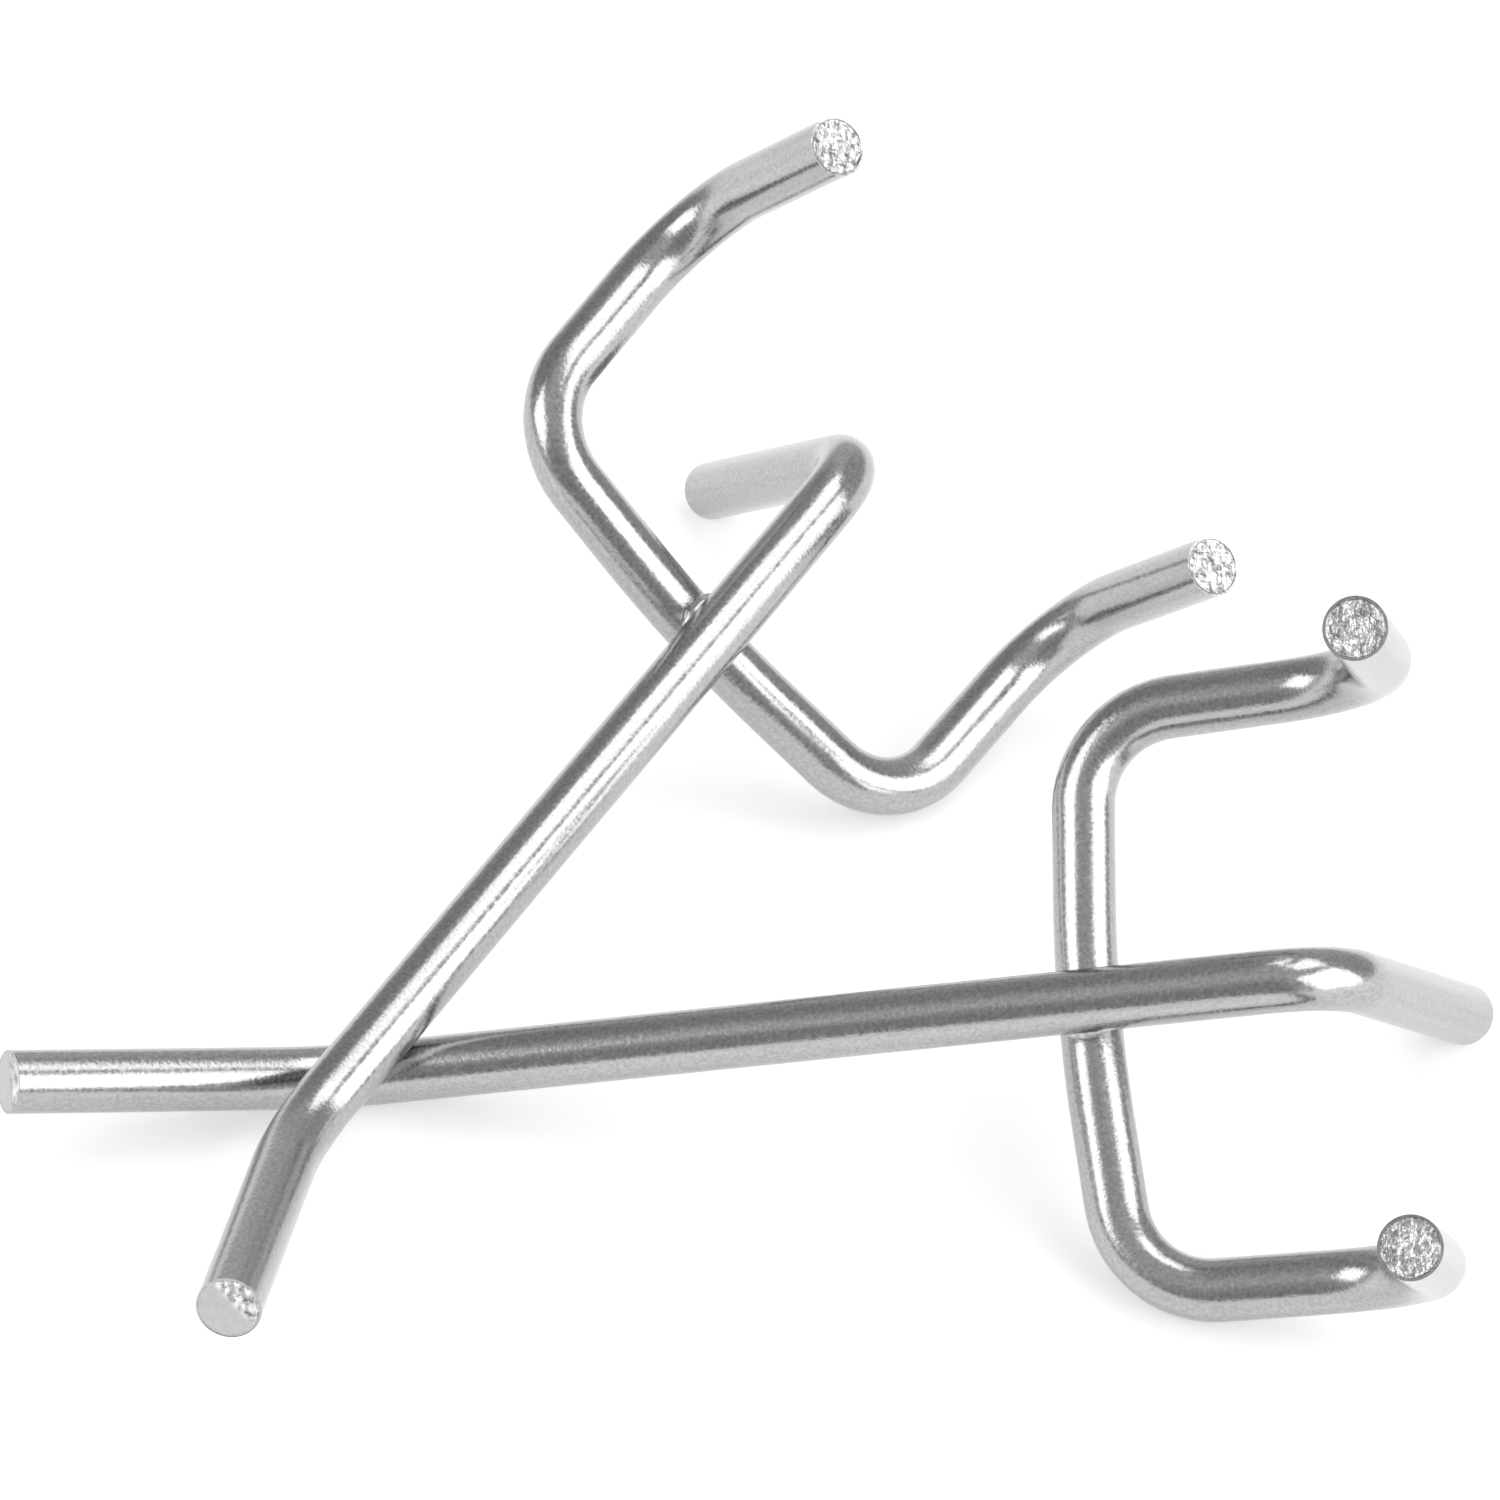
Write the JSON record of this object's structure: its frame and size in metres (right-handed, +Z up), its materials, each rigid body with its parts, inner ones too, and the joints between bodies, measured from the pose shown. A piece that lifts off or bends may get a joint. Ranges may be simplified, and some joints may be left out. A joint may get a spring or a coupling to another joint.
{
  "type": "double-prong perforated board hook",
  "caption": "Loose pair of double-prong hooks bent from round plated steel wire for perforated board, one lying across the other on their sides.",
  "frame": {"origin": "on the surface that the pair lies on, under the middle of its bounding box", "axes": "+Z up, +X to the right along the lower hook's arm, from its tip towards its prongs, +Y away from the viewer"},
  "size_m": [0.127, 0.1234, 0.0595],
  "materials": {
    "plated_wire": "bright zinc-nickel plated drawn steel wire, fine grain, sheared ends",
    "weld_metal": "plated resistance weld, slightly dull squeezed-out rim"
  },
  "bodies": {
    "lower_hook": {"lower_hook_prong_wire": "plated_wire", "lower_hook_arm_wire": "plated_wire", "lower_hook_weld": "weld_metal"},
    "upper_hook": {"upper_hook_prong_wire": "plated_wire", "upper_hook_arm_wire": "plated_wire", "upper_hook_weld": "weld_metal"}
  },
  "joints": [
    {"name": "upper_hook_lift", "type": "slide", "parent": "lower_hook", "child": "upper_hook", "axis": [0, 0, 1], "range_m": [0, 0.08]}
  ]
}
